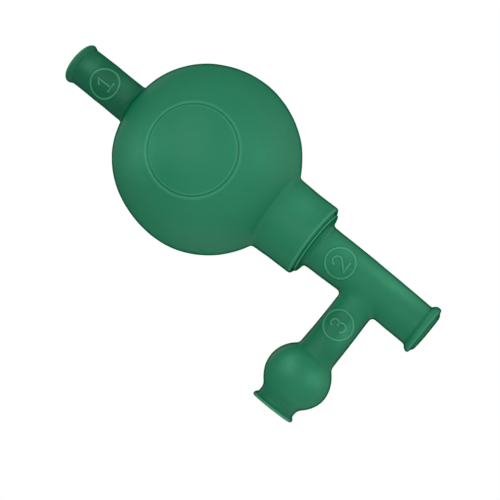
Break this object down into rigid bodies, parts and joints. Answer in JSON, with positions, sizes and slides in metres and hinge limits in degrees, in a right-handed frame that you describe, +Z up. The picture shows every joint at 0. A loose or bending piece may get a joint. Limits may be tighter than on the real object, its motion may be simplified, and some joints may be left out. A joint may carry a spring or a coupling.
{
  "type": "three-valve pipette filler bulb",
  "caption": "Rubber safety pipette filler: squeeze bulb with air valve neck, collar-fitted valve section with pipette socket and side arm ending in a small blow-out bulb.",
  "frame": {"origin": "centre of the pipette socket's mouth, at the bottom of the valve section", "axes": "+Z up along the main axis towards the air valve, -Y out of the marked front face, -X along the side arm towards the blow-out bulb"},
  "size_m": [0.0811, 0.062, 0.1453],
  "materials": {
    "green_rubber": "satin moulded natural rubber",
    "valve_ball": "polished"
  },
  "bodies": {
    "valve_section": {"valve_section": "green_rubber", "suction_valve_ball": "valve_ball", "empty_valve_ball": "valve_ball"},
    "air_valve_ball": {"air_valve_ball": "valve_ball"},
    "bulb_section": {"bulb_section": "green_rubber"},
    "bulb_front_wall": {"bulb_front_wall": "green_rubber"},
    "bulb_back_wall": {"bulb_back_wall": "green_rubber"},
    "air_pinch_front": {"air_pinch_front": "green_rubber"},
    "air_pinch_back": {"air_pinch_back": "green_rubber"},
    "suction_pinch_front": {"suction_pinch_front": "green_rubber"},
    "suction_pinch_back": {"suction_pinch_back": "green_rubber"},
    "empty_pinch_front": {"empty_pinch_front": "green_rubber"},
    "empty_pinch_back": {"empty_pinch_back": "green_rubber"},
    "blowout_front_wall": {"blowout_front_wall": "green_rubber"},
    "blowout_back_wall": {"blowout_back_wall": "green_rubber"}
  },
  "joints": [
    {"name": "bulb_pull_off", "type": "slide", "parent": "valve_section", "child": "air_valve_ball", "axis": [0, 0, 1], "range_m": [0, 0.024]},
    {"name": "bulb_swivel", "type": "hinge", "parent": "air_valve_ball", "child": "bulb_section", "pos_m": [0, 0, 0.045], "axis": [0, 0, 1], "continuous": true},
    {"name": "bulb_squeeze", "type": "slide", "parent": "bulb_section", "child": "bulb_front_wall", "axis": [0, 1, 0], "range_m": [0, 0.02], "stiffness_N_per_m": 200},
    {"name": "bulb_squeeze_back", "type": "slide", "parent": "bulb_section", "child": "bulb_back_wall", "axis": [0, -1, 0], "range_m": [0, 0.02]},
    {"name": "air_pinch", "type": "slide", "parent": "bulb_section", "child": "air_pinch_front", "axis": [0, 1, 0], "range_m": [0, 0.0011], "stiffness_N_per_m": 60},
    {"name": "air_pinch_far_side", "type": "slide", "parent": "bulb_section", "child": "air_pinch_back", "axis": [0, -1, 0], "range_m": [0, 0.0011]},
    {"name": "suction_pinch", "type": "slide", "parent": "valve_section", "child": "suction_pinch_front", "axis": [0, 1, 0], "range_m": [0, 0.0011], "stiffness_N_per_m": 60},
    {"name": "suction_pinch_far_side", "type": "slide", "parent": "valve_section", "child": "suction_pinch_back", "axis": [0, -1, 0], "range_m": [0, 0.0011]},
    {"name": "empty_pinch", "type": "slide", "parent": "valve_section", "child": "empty_pinch_front", "axis": [0, 1, 0], "range_m": [0, 0.0011], "stiffness_N_per_m": 60},
    {"name": "empty_pinch_far_side", "type": "slide", "parent": "valve_section", "child": "empty_pinch_back", "axis": [0, -1, 0], "range_m": [0, 0.0011]},
    {"name": "blowout_squeeze", "type": "slide", "parent": "valve_section", "child": "blowout_front_wall", "axis": [0, 1, 0], "range_m": [0, 0.006], "stiffness_N_per_m": 100},
    {"name": "blowout_squeeze_back", "type": "slide", "parent": "valve_section", "child": "blowout_back_wall", "axis": [0, -1, 0], "range_m": [0, 0.006]}
  ],
  "couplings": [
    {"joint": "bulb_squeeze_back", "follows": "bulb_squeeze", "ratio": 1},
    {"joint": "air_pinch_far_side", "follows": "air_pinch", "ratio": 1},
    {"joint": "suction_pinch_far_side", "follows": "suction_pinch", "ratio": 1},
    {"joint": "empty_pinch_far_side", "follows": "empty_pinch", "ratio": 1},
    {"joint": "blowout_squeeze_back", "follows": "blowout_squeeze", "ratio": 1}
  ]
}
